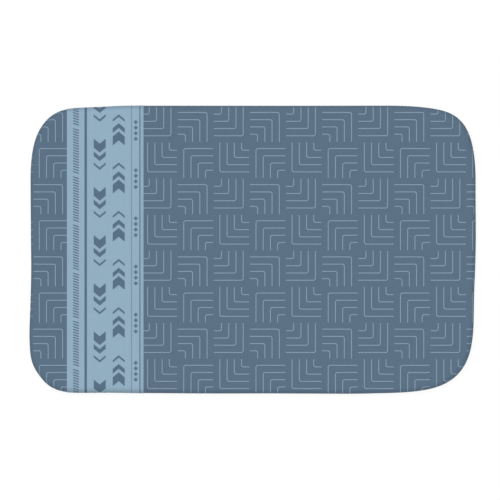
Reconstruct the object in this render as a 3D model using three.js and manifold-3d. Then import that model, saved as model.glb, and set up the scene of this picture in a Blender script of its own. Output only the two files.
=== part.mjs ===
// Fitted ironing cover, stretched over the shape of its board, with the board itself left out.
//
// A printed cloth lies over a foam pad and a felt pad, rolls down over their edge and turns
// under. A heat-proof strip is laid across the cloth near one end. The cloth's cut edge sits in
// a folded tape, and an elastic loop in the tape's fold draws the turned-under cloth into pleats.
//
// Millimetres. +X runs along the cover away from the strip, +Y across it, +Z up. The origin is
// on the surface that the cover lies on, under the middle of the cover.

import * as THREE from "three";
import { mergeVertices } from "three/addons/utils/BufferGeometryUtils.js";
import Module from "manifold-3d";

// Overall plan size of the stretched cover
const LENGTH = 1000;
const WIDTH = 646;

// Layers, from the ironing surface down
const BAND_THICK = 0.4;
const CLOTH_THICK = 0.8;
const FOAM_THICK = 4;
const FELT_THICK = 6;

// Free height left for the board's edge between the felt and the turned-under cloth
const BOARD_EDGE = 22;

// Rolls of the cloth over the pads' edge and under the board's edge
const TOP_ROLL_RADIUS = 12;
const LOWER_ROLL_RADIUS = 7;

// The side wall leans in by this much between the two rolls
const SIDE_LEAN = 3;

// Hem: how far the cloth turns under, and the tape and elastic along its edge
const HEM_INSET = 42;
const TAPE_THICK = 0.5;
const TAPE_LAP = 5;
const ELASTIC_WIDTH = 6;
const ELASTIC_THICK = 1.2;
const STITCH_ROOM = 1.5;
const FOLD_DEPTH = 0.6;

// Pleats at the corners: rise over half a pleat's width, and the highest that one may stand
const PLEAT_SLOPE_SHARE = 0.75;
const PLEAT_RISE = 7;
const PLEAT_UNEVEN_SHARE = 0.2;

// Heat-proof strip: how far it lies from the cover's end, and its width
const BAND_FROM_END = 83.2;
const BAND_WIDTH = 171.9;

// Air between neighbouring layers
const CLEARANCE = 0.3;

// How far a cutting block stands past what it cuts
const OVERRUN = 20;

// Facets round the plan and over the two rolls
const CORNER_STEPS = 12;
const SIDE_STEPS = 2;
const TOP_ROLL_STEPS = 3;
const LOWER_ROLL_STEPS = 2;

// The four corners differ a little. Each is one curve that starts on the side wall across the
// length and ends on the one along it. reach is how far it runs along each side, ease how far
// that side has drawn in from the overall size there, and a handle share shapes the curve.
const CORNERS = [
  // Far right
  {
    endX: 1,
    endY: 1,
    reachX: 192,
    reachY: 173,
    easeX: 0,
    easeY: 0,
    handleXShare: 0.83,
    handleYShare: 0.85,
  },
  // Far left
  {
    endX: -1,
    endY: 1,
    reachX: 193,
    reachY: 170,
    easeX: 1.8,
    easeY: 0.4,
    handleXShare: 0.75,
    handleYShare: 0.91,
  },
  // Near left
  {
    endX: -1,
    endY: -1,
    reachX: 155,
    reachY: 138,
    easeX: 0,
    easeY: 0,
    handleXShare: 0.75,
    handleYShare: 0.87,
  },
  // Near right
  {
    endX: 1,
    endY: -1,
    reachX: 199,
    reachY: 169,
    easeX: 4,
    easeY: 0,
    handleXShare: 0.75,
    handleYShare: 0.74,
  },
];

// Levels, from the surface that the cover lies on
const bandUnderside = TAPE_THICK + CLEARANCE;
const clothUnderside = bandUnderside + BAND_THICK + CLEARANCE;
const turnedClothTop = clothUnderside + CLOTH_THICK;
const upperTape = turnedClothTop + CLEARANCE;
const tapeTop = upperTape + TAPE_THICK;
const tunnelMiddle = (TAPE_THICK + upperTape) / 2;
const feltUnderside = turnedClothTop + BOARD_EDGE;
const feltTop = feltUnderside + FELT_THICK;
const foamUnderside = feltTop + CLEARANCE;
const foamTop = foamUnderside + FOAM_THICK;
const ironingSurface = foamTop + CLEARANCE + CLOTH_THICK;

// Plan outline, drawn in by inset from all four sides

function cornerCurve(corner, inset) {
  const sideX = corner.endX * (LENGTH / 2 - corner.easeX - inset);
  const sideY = corner.endY * (WIDTH / 2 - corner.easeY - inset);
  const reachX = corner.endX * (corner.reachX - inset);
  const reachY = corner.endY * (corner.reachY - inset);
  const points = [
    new THREE.Vector2(sideX, sideY - reachY),
    new THREE.Vector2(sideX, sideY - reachY * (1 - corner.handleYShare)),
    new THREE.Vector2(sideX - reachX * (1 - corner.handleXShare), sideY),
    new THREE.Vector2(sideX - reachX, sideY),
  ];
  // Seen from above the outline runs anticlockwise, so every second corner is walked backwards.
  if (corner.endX !== corner.endY) points.reverse();
  return new THREE.CubicBezierCurve(...points);
}

// A station is a point of the outline with its outward direction.
function station(point, along) {
  return { point, outward: new THREE.Vector2(along.y, -along.x).normalize() };
}

// All stations once round: the steps of a corner, then those of the side that follows it.
function stations(inset, finer) {
  const curves = CORNERS.map((corner) => cornerCurve(corner, inset));
  const found = [];
  curves.forEach((curve, index) => {
    const cornerSteps = CORNER_STEPS * finer;
    for (let step = 0; step < cornerSteps; step++) {
      const share = step / cornerSteps;
      found.push(station(curve.getPoint(share), curve.getTangent(share)));
    }
    const start = curve.getPoint(1);
    const end = curves[(index + 1) % curves.length].getPoint(0);
    const sideSteps = SIDE_STEPS * finer;
    for (let step = 0; step < sideSteps; step++) {
      const point = start.clone().lerp(end, step / sideSteps);
      found.push(station(point, end.clone().sub(start)));
    }
  });
  return found;
}

const edgeStations = stations(0, 1);
const hemStations = stations(HEM_INSET, 2);

// Every second hem station is the ridge of a pleat, and those between them lie flat. A ridge
// stands as high as the width of its pleat allows. The sides between corners have no pleats.
const pleatLift = hemStations.map((here, index) => {
  const stationsPerSide = 2 * (CORNER_STEPS + SIDE_STEPS);
  const placeInSide = index % stationsPerSide;
  if (placeInSide > 2 * CORNER_STEPS || placeInSide % 2 === 0) return 0;
  const halfPleat = here.point.distanceTo(hemStations[index - 1].point);
  const uneven = 1 - PLEAT_UNEVEN_SHARE * (1 + Math.sin(index * index));
  return Math.min(PLEAT_RISE, PLEAT_SLOPE_SHARE * halfPleat) * uneven;
});

// A ring is the points of one turn round the plan. inset orders rings from the outline inwards.

function edgeRing(inset, height) {
  const points = edgeStations.map(({ point, outward }) => {
    const moved = point.clone().addScaledVector(outward, -inset);
    return new THREE.Vector3(moved.x, moved.y, height);
  });
  return { points, inset };
}

// inward is counted from the cloth's cut edge, and each point rises with its pleat.
function hemRing(inward, height) {
  const points = hemStations.map(({ point, outward }, index) => {
    const moved = point.clone().addScaledVector(outward, -inward);
    return new THREE.Vector3(moved.x, moved.y, height + pleatLift[index]);
  });
  return { points, inset: HEM_INSET + inward };
}

// Edge profile of the cloth's outer face, as (inset, height) from the flat top, down over the
// top roll, along the leaning side and round the lower roll to the turned-under level.

function rollPoints(centre, radius, fromAngle, toAngle, steps) {
  const points = [];
  for (let step = 0; step <= steps; step++) {
    const angle = THREE.MathUtils.lerp(fromAngle, toAngle, step / steps);
    points.push(
      new THREE.Vector2(
        centre.x - radius * Math.cos(angle),
        centre.y + radius * Math.sin(angle),
      ),
    );
  }
  return points;
}

const quarterTurn = Math.PI / 2;
const topRoll = rollPoints(
  new THREE.Vector2(TOP_ROLL_RADIUS, ironingSurface - TOP_ROLL_RADIUS),
  TOP_ROLL_RADIUS,
  quarterTurn,
  0,
  TOP_ROLL_STEPS,
);
const lowerRoll = rollPoints(
  new THREE.Vector2(
    SIDE_LEAN + LOWER_ROLL_RADIUS,
    clothUnderside + LOWER_ROLL_RADIUS,
  ),
  LOWER_ROLL_RADIUS,
  0,
  -quarterTurn,
  LOWER_ROLL_STEPS,
);
const clothProfile = [...topRoll, ...lowerRoll];

// The profile moved outwards by a distance, with every stretch kept parallel to itself.
function movedProfile(distance) {
  const normals = [new THREE.Vector2(0, 1)];
  for (let index = 1; index < clothProfile.length; index++) {
    const along = clothProfile[index].clone().sub(clothProfile[index - 1]);
    normals.push(new THREE.Vector2(along.y, -along.x).normalize());
  }
  normals.push(new THREE.Vector2(0, -1));
  return clothProfile.map((point, index) => {
    const before = normals[index];
    const after = normals[index + 1];
    const mitre = before.clone().add(after);
    return point.clone().addScaledVector(mitre, distance / (1 + before.dot(after)));
  });
}

// Rings of a layer's face, moved outwards from the cloth's outer face, from top to cut edge
function layerFace(outwards) {
  const rings = movedProfile(outwards).map((place) => edgeRing(place.x, place.y));
  const turnedUnder = clothUnderside - outwards;
  rings.push(hemRing(-TAPE_LAP, turnedUnder), hemRing(0, turnedUnder));
  return rings;
}

// Joins rings into a closed skin. A capped skin starts and ends in a flat top, and any other
// goes round from its last ring to its first. A finer ring has two points for each coarse one.

function skin(rings, capped) {
  const places = [];
  const faces = [];
  const starts = rings.map(({ points }) => {
    const start = places.length / 3;
    points.forEach((point) => places.push(point.x, point.y, point.z));
    return start;
  });

  function join(upperIndex, lowerIndex) {
    const upper = rings[upperIndex];
    const lower = rings[lowerIndex];
    const upperCount = upper.points.length;
    const lowerCount = lower.points.length;
    const a = (index) => starts[upperIndex] + (index % upperCount);
    const b = (index) => starts[lowerIndex] + (index % lowerCount);
    for (let i = 0; i < Math.min(upperCount, lowerCount); i++) {
      if (lowerCount > upperCount) {
        faces.push(a(i), b(2 * i), b(2 * i + 1));
        faces.push(a(i), b(2 * i + 1), a(i + 1));
        faces.push(a(i + 1), b(2 * i + 1), b(2 * i + 2));
      } else if (lowerCount < upperCount) {
        faces.push(a(2 * i), b(i), a(2 * i + 1));
        faces.push(a(2 * i + 1), b(i), b(i + 1));
        faces.push(a(2 * i + 1), b(i + 1), a(2 * i + 2));
      } else if (upper.inset > lower.inset) {
        // Quads split alike on every layer, so that neighbouring faces stay parallel.
        faces.push(a(i), b(i), a(i + 1));
        faces.push(a(i + 1), b(i), b(i + 1));
      } else {
        faces.push(a(i), b(i), b(i + 1));
        faces.push(a(i), b(i + 1), a(i + 1));
      }
    }
  }

  function cap(ringIndex, facingUp) {
    const count = rings[ringIndex].points.length;
    const middle = places.length / 3;
    places.push(0, 0, rings[ringIndex].points[0].z);
    for (let i = 0; i < count; i++) {
      const here = starts[ringIndex] + i;
      const next = starts[ringIndex] + ((i + 1) % count);
      if (facingUp) faces.push(middle, here, next);
      else faces.push(middle, next, here);
    }
  }

  for (let index = 1; index < rings.length; index++) join(index - 1, index);
  if (capped) {
    cap(0, true);
    cap(rings.length - 1, false);
  } else {
    join(rings.length - 1, 0);
  }
  const geometry = new THREE.BufferGeometry();
  geometry.setAttribute("position", new THREE.Float32BufferAttribute(places, 3));
  geometry.setIndex(faces);
  return geometry;
}

// A layer of cloth: its outer face from top to cut edge, then its inner face back to the top
function clothLayer(outerFace, innerFace) {
  return skin([...layerFace(outerFace), ...layerFace(innerFace).reverse()], true);
}

// Pad between two heights inside the cloth. Its edge follows the cloth's inner face.

const pocketWall = movedProfile(-CLOTH_THICK - CLEARANCE);

function pocketInsetAt(height) {
  const below = pocketWall.findIndex((place, index) => index > 0 && place.y <= height);
  const upper = pocketWall[below - 1];
  const lower = pocketWall[below];
  return THREE.MathUtils.mapLinear(height, upper.y, lower.y, upper.x, lower.x);
}

function pad(top, underside) {
  const edge = pocketWall.filter((place) => place.y < top && place.y > underside);
  const rings = [
    edgeRing(pocketInsetAt(top), top),
    ...edge.map((place) => edgeRing(place.x, place.y)),
    edgeRing(pocketInsetAt(underside), underside),
  ];
  return skin(rings, true);
}

// Hem tape, folded round the cloth's edge, with its fold towards the middle of the cover. The
// cloth lies between the tape's two leaves, and the fold holds the elastic.

const elasticOuter = STITCH_ROOM;
const elasticInner = elasticOuter + ELASTIC_WIDTH;
const foldStart = elasticInner + CLEARANCE;

function hemTape() {
  const foldInside = foldStart + FOLD_DEPTH;
  const rings = [
    hemRing(-TAPE_LAP, tapeTop),
    hemRing(-TAPE_LAP, upperTape),
    hemRing(foldStart, upperTape),
    hemRing(foldInside, tunnelMiddle),
    hemRing(foldStart, TAPE_THICK),
    hemRing(-TAPE_LAP, TAPE_THICK),
    hemRing(-TAPE_LAP, 0),
    hemRing(foldStart, 0),
    hemRing(foldInside + TAPE_THICK, tunnelMiddle),
    hemRing(foldStart, tapeTop),
  ];
  return skin(rings, false);
}

function hemElastic() {
  const top = tunnelMiddle + ELASTIC_THICK / 2;
  const underside = tunnelMiddle - ELASTIC_THICK / 2;
  const rings = [
    hemRing(elasticInner, top),
    hemRing(elasticOuter, top),
    hemRing(elasticOuter, underside),
    hemRing(elasticInner, underside),
  ];
  return skin(rings, false);
}

// Heat-proof strip: a layer laid on the cloth, trimmed to two straight edges across the cover

const wasm = await Module();
wasm.setup();

function toSolid(geometry) {
  return new wasm.Manifold(
    new wasm.Mesh({
      numProp: 3,
      vertProperties: new Float32Array(geometry.getAttribute("position").array),
      triVerts: new Uint32Array(geometry.index.array),
    }),
  );
}

function fromSolid(solid) {
  const { vertProperties, triVerts } = solid.getMesh();
  const geometry = new THREE.BufferGeometry();
  geometry.setAttribute("position", new THREE.BufferAttribute(vertProperties, 3));
  geometry.setIndex(new THREE.BufferAttribute(triVerts, 1));
  return geometry;
}

function slabAcross(fromX, toX) {
  const box = new THREE.BoxGeometry(
    toX - fromX,
    WIDTH + 2 * OVERRUN,
    ironingSurface + 2 * OVERRUN,
  );
  box.translate((fromX + toX) / 2, 0, ironingSurface / 2);
  box.deleteAttribute("normal");
  box.deleteAttribute("uv");
  return mergeVertices(box);
}

function ironRestBand() {
  const strip = clothLayer(CLEARANCE + BAND_THICK, CLEARANCE);
  const outerEdge = BAND_FROM_END - LENGTH / 2;
  const slab = slabAcross(outerEdge, outerEdge + BAND_WIDTH);
  return fromSolid(toSolid(strip).intersect(toSolid(slab)));
}

// Assembly

const cover = new THREE.Group();

function addPiece(name, geometry, color, roughness, metalness) {
  const material = new THREE.MeshStandardMaterial({
    color,
    roughness,
    metalness,
    flatShading: true,
  });
  const piece = new THREE.Mesh(geometry, material);
  piece.name = name;
  cover.add(piece);
}

addPiece("cover_cloth", clothLayer(0, -CLOTH_THICK), 0x5d7285, 0.7, 0.1);
addPiece("iron_rest_band", ironRestBand(), 0x93aec1, 0.55, 0.2);
addPiece("foam_pad", pad(foamTop, foamUnderside), 0xe9e4d6, 0.95, 0);
addPiece("felt_pad", pad(feltTop, feltUnderside), 0xd9d8d2, 1, 0);
addPiece("hem_tape", hemTape(), 0x4a5c6d, 0.85, 0);
addPiece("hem_elastic", hemElastic(), 0xf2f1ec, 0.8, 0);

export default cover;
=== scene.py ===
"""Fitted ironing cover, seen from straight above, as it lies stretched to its board's shape.

The printed cloth, the heat-proof strip, the two pads, the folded hem tape, its elastic and the
sewing threads are all surfaces carried round one plan outline. Metres throughout, in the frame
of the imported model: +X along the cover away from the strip, +Y across it, +Z up.
"""

import math

import bpy
import numpy as np
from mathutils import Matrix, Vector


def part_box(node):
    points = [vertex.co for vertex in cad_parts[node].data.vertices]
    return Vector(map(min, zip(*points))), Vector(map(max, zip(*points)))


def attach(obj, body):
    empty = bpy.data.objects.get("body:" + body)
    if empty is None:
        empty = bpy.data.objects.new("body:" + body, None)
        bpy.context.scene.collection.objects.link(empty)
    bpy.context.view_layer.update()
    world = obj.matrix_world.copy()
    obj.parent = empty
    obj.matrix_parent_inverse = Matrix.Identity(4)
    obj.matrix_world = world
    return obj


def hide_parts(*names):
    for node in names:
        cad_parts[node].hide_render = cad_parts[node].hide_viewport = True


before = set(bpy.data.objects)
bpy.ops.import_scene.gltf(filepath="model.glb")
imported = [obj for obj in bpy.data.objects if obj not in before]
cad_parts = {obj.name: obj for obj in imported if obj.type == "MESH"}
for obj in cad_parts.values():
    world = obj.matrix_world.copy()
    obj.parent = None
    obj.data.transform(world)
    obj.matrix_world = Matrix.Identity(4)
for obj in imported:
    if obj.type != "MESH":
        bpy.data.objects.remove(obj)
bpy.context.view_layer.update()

MM = 0.001

# Plan of the cover, and the four corners: where each lies, how far its curve runs along the two
# sides, how far those sides have drawn in there, and how full the curve is.
cloth_low, cloth_high = (np.array(corner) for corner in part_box("cover_cloth"))
HALF_PLAN = (cloth_high - cloth_low)[:2] / 2
CORNERS = (
    dict(end=(1, 1), reach=(0.192, 0.173), ease=(0, 0), handle=(0.83, 0.85)),
    dict(end=(-1, 1), reach=(0.193, 0.170), ease=(0.0018, 0.0004), handle=(0.75, 0.91)),
    dict(end=(-1, -1), reach=(0.155, 0.138), ease=(0, 0), handle=(0.75, 0.87)),
    dict(end=(1, -1), reach=(0.199, 0.169), ease=(0.004, 0), handle=(0.75, 0.74)),
)

# Edge profile: the roll over the pads, the roll under the board's edge, and how far the hem turns
# in from the outline. TAPE_LAP is how far the hem tape reaches out over the cloth.
SURFACE = cloth_high[2]
TURNED_UNDER = cloth_low[2]
TOP_ROLL = 12 * MM
LOWER_ROLL = 7 * MM
LOWER_ROLL_INSET = 10 * MM
HEM_INSET = 42 * MM
TAPE_LAP = 5 * MM

# Thicknesses, and the air between layers
CLOTH = 0.5 * MM
STRIP = 0.3 * MM
TAPE = 0.4 * MM
AIR = 0.1 * MM
PAD_AIR = 0.15 * MM

# Gathers that the elastic draws in: width and height of one, along a side and in a corner, and
# the least and greatest share of them that a single one gets. It grows from the side's widest
# line to the end of the lower roll, where it has ROLL_GATHER of its height, by one power of the
# way (climb), and on to the hem by another (fade). Corners and sides blend over GATHER_BLEND.
# GATHER_POINT is the power of its wave: the higher it is, the more pointed is its top.
GATHER_WIDTH = (24 * MM, 11.5 * MM)
GATHER_HEIGHT = (2.2 * MM, 5.4 * MM)
GATHER_BLEND = 28 * MM
WIDTH_SHARES = (0.75, 1.25)
HEIGHT_SHARES = (0.45, 1.0)
GATHER_FADE = (0.6, 2.2)
GATHER_CLIMB = (0.7, 2.6)
GATHER_POINT = 1.25
ROLL_GATHER = 0.5

# Slow dents of the side between gathers: how deep along a side and in a corner, how many of each
# of their three waves go round the hem, and how much of the depth each wave takes up
DENT_DEPTH = (0.25 * MM, 0.9 * MM)
DENT_WAVES = (53, 71, 97)
DENT_SWING = 0.25

# Dip of the flat top: its depth, its slow waves (how far each turns with x and with y, and its
# length), and how it dies out towards the rim
SAG = 0.3 * MM
SAG_WAVES = ((1, 0, 0.061), (0, 1, 0.052), (1, 1, 0.041), (1, -1.4, 0.083))
SAG_EDGE = 20 * MM
SAG_CORNER_POWER = 6
SAG_STEEPNESS = 1.6

# Heat-proof strip
strip_low, strip_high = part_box("iron_rest_band")
STRIP_FROM = strip_low[0]
STRIP_TO = strip_high[0]

# Stations round the hem: in a corner (a multiple of 8), along a long side and along a short one
# (multiples of 4), so that every fourth one lies on the border of the top's grid. A corner's are
# spaced evenly, by the lengths between as many points of its curve as CURVE_SAMPLES says.
CORNER_STATIONS = 176
LONG_STATIONS = 180
SHORT_STATIONS = 92
SIDE_STATIONS = (LONG_STATIONS, SHORT_STATIONS) * 2
CURVE_SAMPLES = 600

# Photograph: width of its view at the height of the top, and where its middle falls
VIEW_WIDTH = 1120.35 * MM
VIEW_MIDDLE = (-6.45 * MM, -0.4 * MM)
LENS = 400
SENSOR = 36

# Places on the plan where the edge is drawn in a little further, or (below zero) less far:
# x, y, how far along the edge it reaches, and by how much, in millimetres.
DRAWN_IN = (
    (500, 150, 45, 0.9),
    (488, 250, 40, 1.7),
    (-345, 322, 30, 2.3),
    (-436, 307, 25, -1.9),
    (-470, 285, 30, 0.9),
    (-499, 60, 50, 1.0),
    (-500, -50, 50, 2.6),
    (-499, -190, 40, -0.6),
    (-478, -287, 20, 2.9),
    (-425, -316, 22, -1.0),
    (-345, -323, 50, 2.9),
    (-230, -323, 70, 1.7),
    (20, -323, 150, 1.5),
    (320, -322, 45, 2.3),
    (380, -316, 30, 0.8),
    (493, -180, 50, 1.4),
    (498, 12, 50, -1.1),
    (497, -100, 28, 0.7),
    (100, 323, 150, 0.4),
    (389, 319, 45, 0.8),
    (-381, 320, 20, 0.7),
    (-500, -130, 25, 0.6),
    (444, 304, 22, -0.9),
    (-494, -245, 20, -1.2),
)

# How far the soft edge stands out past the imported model's outline
STAND_OUT = 0.7 * MM

SEED = 20
rng = np.random.default_rng(SEED)


# Colours and shader nodes

def ink(red, green, blue):
    """Colour of a swatch given as 0 to 255 display values, as linear RGBA."""
    shares = np.array([red, green, blue]) / 255
    linear = np.where(shares <= 0.04045, shares / 12.92, ((shares + 0.055) / 1.055) ** 2.4)
    return (*linear.tolist(), 1.0)


class Wire:
    """A shader socket. Arithmetic on it adds Math nodes to the material that it belongs to."""

    def __init__(self, finish, socket):
        self.finish = finish
        self.socket = socket

    def maths(self, operation, *others, clamp=False):
        """Adds one Math node that takes this socket and the others."""
        settings = dict(operation=operation, use_clamp=clamp)
        inputs = dict(enumerate((self, *others)))
        return self.finish.node("ShaderNodeMath", settings, inputs)

    def __add__(self, other):
        return self.maths("ADD", other)

    __radd__ = __add__

    def __mul__(self, other):
        return self.maths("MULTIPLY", other)

    __rmul__ = __mul__

    def __sub__(self, other):
        return self.maths("SUBTRACT", other)

    def __rsub__(self, other):
        return self * -1 + other

    def __abs__(self):
        return self.maths("ABSOLUTE")

    def repeat(self, period):
        """Signed distance to the middle of the nearest repeat."""
        return (self + period / 2).maths("FLOORED_MODULO", period) - period / 2

    def within(self, half, soft):
        """1 where the value lies within half of zero, with an edge as wide as soft."""
        return ((half - abs(self)) * (1 / soft)).maths("ADD", 0.5, clamp=True)


class Finish:
    """The node tree of one material."""

    def __init__(self, name, tree=None):
        if tree is None:
            self.material = bpy.data.materials.new(name)
            self.material.use_nodes = True
            tree = self.material.node_tree
        self.tree = tree
        self.tree.nodes.clear()

    def node(self, kind, settings=None, inputs=None, out=0):
        """Adds a node: its settings first, then its live sockets by name or by place."""
        made = self.tree.nodes.new(kind)
        for name, value in (settings or {}).items():
            setattr(made, name, value)
        for name, value in (inputs or {}).items():
            live = [socket for socket in made.inputs if socket.enabled]
            if isinstance(name, str):
                live = [socket for socket in live if socket.name == name]
                name = 0
            if isinstance(value, Wire):
                self.tree.links.new(value.socket, live[name])
            else:
                live[name].default_value = value
        shown = [socket for socket in made.outputs if socket.enabled]
        if isinstance(out, str):
            shown = [socket for socket in shown if socket.name == out]
            out = 0
        return Wire(self, shown[out]) if shown else made

    def blend(self, factor, first, second):
        """Colour that goes from first to second as factor goes from 0 to 1."""
        inputs = {"Factor": factor, "A": first, "B": second}
        return self.node("ShaderNodeMix", dict(data_type="RGBA"), inputs, "Result")

    def flat_cloth(self):
        """Place on the flat cloth, in millimetres, as two wires and one vector."""
        place = self.node("ShaderNodeUVMap", dict(uv_map="flat"))
        scaled = self.node(
            "ShaderNodeVectorMath",
            dict(operation="SCALE"),
            {"Vector": place, "Scale": 1 / MM},
        )
        split = self.node("ShaderNodeSeparateXYZ", {}, {"Vector": scaled}, "X")
        return split, Wire(self, split.socket.node.outputs["Y"]), scaled

    def noise(self, place, scale, detail=2.0, roughness=0.5):
        """Cloudy noise, about 0.5 on average."""
        inputs = dict(Vector=place, Scale=scale, Detail=detail, Roughness=roughness)
        return self.node("ShaderNodeTexNoise", {}, inputs)

    def bump(self, height, distance, strength):
        """Normal of a surface raised by height, where a height of 1 stands out by distance."""
        inputs = dict(Height=height, Distance=distance, Strength=strength)
        return self.node("ShaderNodeBump", {}, inputs)

    def surface(self, **values):
        """Ends the tree in one Principled shader, whose sockets are named with underscores."""
        inputs = {name.replace("_", " "): value for name, value in values.items()}
        shader = self.node("ShaderNodeBsdfPrincipled", {}, inputs)
        self.node("ShaderNodeOutputMaterial", {}, {"Surface": shader})
        return self.material


# Camera, light and floor

def put_in_scene(name, data):
    """Makes an object of the data and links it."""
    made = bpy.data.objects.new(name, data)
    bpy.context.collection.objects.link(made)
    return made


lens_data = bpy.data.cameras.new("camera")
lens_data.lens = LENS
lens_data.sensor_width = SENSOR
camera = put_in_scene("camera", lens_data)
camera.location = (*VIEW_MIDDLE, SURFACE + VIEW_WIDTH * LENS / SENSOR)
bpy.context.scene.camera = camera
bpy.context.scene.view_settings.view_transform = "Standard"

# Soft studio light: a pale sky, brighter overhead, and one wide lamp. The floor is grey paint,
# which the camera sees under a white glow.
SKY_AT_HORIZON = 0.28
SKY_OVERHEAD = 0.73
LAMP = 1.27
LAMP_TILT = math.radians(16)
LAMP_TURN = math.radians(-32)
LAMP_SOFTNESS = math.radians(40)
FLOOR_GLOW_SHARE = 0.7
FLOOR_GLOW = 1.29
FLOOR_PAINT = (0.4, 0.4, 0.4, 1)
FLOOR_REACH = 40

lamp_data = bpy.data.lights.new("studio_lamp", "SUN")
lamp_data.energy = LAMP
lamp_data.angle = LAMP_SOFTNESS
lamp = put_in_scene("studio_lamp", lamp_data)
lamp.rotation_euler = (-LAMP_TILT * math.cos(LAMP_TURN), LAMP_TILT * math.sin(LAMP_TURN), 0)

world = bpy.data.worlds.new("studio")
world.use_nodes = True
bpy.context.scene.world = world
sky = Finish("studio", world.node_tree)


def seen_directly(finish):
    """1 for camera, glossy and transmission rays, which see the white background."""
    seen = finish.node("ShaderNodeLightPath", out="Is Camera Ray")
    outputs = seen.socket.node.outputs
    for ray in ("Is Glossy Ray", "Is Transmission Ray"):
        seen = seen.maths("MAXIMUM", Wire(finish, outputs[ray]))
    return seen


direction = sky.node("ShaderNodeTexCoord", out="Generated")
climb = sky.node("ShaderNodeSeparateXYZ", {}, dict(Vector=direction), "Z")
sky_glow = abs(climb) * (SKY_OVERHEAD - SKY_AT_HORIZON) + SKY_AT_HORIZON
sky_strength = seen_directly(sky) * (1 - sky_glow) + sky_glow
sky_light = sky.node("ShaderNodeBackground", {}, dict(Color=(1, 1, 1, 1), Strength=sky_strength))
sky.node("ShaderNodeOutputWorld", {}, {"Surface": sky_light})

floor_finish = Finish("pale_floor")
floor_paint = floor_finish.node("ShaderNodeBsdfDiffuse", {}, dict(Color=FLOOR_PAINT))
floor_glow = floor_finish.node("ShaderNodeEmission", {}, dict(Strength=FLOOR_GLOW))
floor_mix = floor_finish.node(
    "ShaderNodeMixShader",
    {},
    {0: seen_directly(floor_finish) * FLOOR_GLOW_SHARE, 1: floor_paint, 2: floor_glow},
)
floor_finish.node("ShaderNodeOutputMaterial", {}, {"Surface": floor_mix})
floor_mesh = bpy.data.meshes.new("floor")
floor_corners = [(-1, -1), (1, -1), (1, 1), (-1, 1)]
floor_mesh.from_pydata(
    [(FLOOR_REACH * x, FLOOR_REACH * y, 0) for x, y in floor_corners], [], [(0, 1, 2, 3)]
)
floor_mesh.materials.append(floor_finish.material)
floor = put_in_scene("floor", floor_mesh)


# Plan curves. A station is a share of one corner curve or of the side that follows it, the same
# on every curve drawn in from the outline.

def corner_handles(corner, inset):
    """The four handles of a corner's cubic curve, drawn in by inset, in anticlockwise order."""
    keys = ("end", "reach", "ease", "handle")
    end, reach, ease, handle = (np.array(corner[key]) for key in keys)
    side = end * (HALF_PLAN - ease - inset)
    start = end * (reach - inset)
    handles = np.array([
        (side[0], side[1] - start[1]),
        (side[0], side[1] - start[1] * (1 - handle[1])),
        (side[0] - start[0] * (1 - handle[0]), side[1]),
        (side[0] - start[0], side[1]),
    ])
    return handles if end[0] == end[1] else handles[::-1]


def on_curve(handles, share):
    """Points of a cubic curve and its direction there: the Bernstein sum of its handles."""
    rest = 1 - share
    weights = np.stack([rest**3, 3 * rest**2 * share, 3 * rest * share**2, share**3], 1)
    steps = np.diff(handles, axis=0)
    slopes = np.stack([rest**2, 2 * rest * share, share**2], 1)
    return weights @ handles, slopes @ steps


def even_shares(handles, count):
    """Shares of a curve at which its arc length grows by even steps, without its end."""
    share = np.linspace(0, 1, CURVE_SAMPLES)
    points, _ = on_curve(handles, share)
    run = run_along(points)
    return np.interp(np.arange(count) / count * run[-1], run, share)


def run_along(points):
    """Length of the line of points from its start to each of them."""
    steps = np.linalg.norm(np.diff(points, axis=0), axis=1)
    return np.concatenate([[0], np.cumsum(steps)])


def closed(points):
    """The points with the first one again at the end."""
    return np.concatenate([points, points[:1]])


def unit(vectors):
    """The vectors at a length of 1."""
    return vectors / np.linalg.norm(vectors, axis=-1)[..., None]


corner_shares = [
    even_shares(corner_handles(corner, HEM_INSET), CORNER_STATIONS) for corner in CORNERS
]


def plan_curve(inset):
    """Points once round the plan, drawn in by inset, and their outward directions."""
    curves = [corner_handles(corner, inset) for corner in CORNERS]
    points, along = [], []
    for place, handles in enumerate(curves):
        corner_points, corner_along = on_curve(handles, corner_shares[place])
        start, end = handles[3], curves[(place + 1) % 4][0]
        count = SIDE_STATIONS[place]
        share = np.arange(count)[:, None] / count
        points += [corner_points, start + share * (end - start)]
        along += [corner_along, np.tile(end - start, (count, 1))]
    points, along = np.concatenate(points), np.concatenate(along)
    return points, unit(np.stack([along[:, 1], -along[:, 0]], 1))


edge_points, edge_outward = plan_curve(0)
edge_points = edge_points + edge_outward * STAND_OUT
for x, y, reach, depth in DRAWN_IN:
    away = np.linalg.norm(edge_points - np.array([x, y]) * MM, axis=1)
    drawn = depth * MM * np.exp(-0.5 * (away / (reach * MM)) ** 2)
    edge_points = edge_points - edge_outward * drawn[:, None]
hem_points, hem_outward = plan_curve(HEM_INSET)
COUNT = len(hem_points)
hem_run = run_along(closed(hem_points))
hem_length = hem_run[-1]
hem_run = hem_run[:-1]

# Which stations lie in a corner, blurred along the hem so that gathers widen little by little
in_corner = np.concatenate([
    np.repeat([1.0, 0.0], [CORNER_STATIONS, count]) for count in SIDE_STATIONS
])
apart = np.abs(hem_run[:, None] - hem_run[None, :])
apart = np.minimum(apart, hem_length - apart)
station_share = np.gradient(hem_run)
weights = np.exp(-0.5 * (apart / GATHER_BLEND) ** 2) * station_share[None, :]
fullness = weights @ in_corner / weights.sum(1)


def smooth(share):
    """Goes from 0 to 1 as share does, level at both ends."""
    share = np.clip(share, 0, 1)
    return share * share * (3 - 2 * share)


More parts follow.
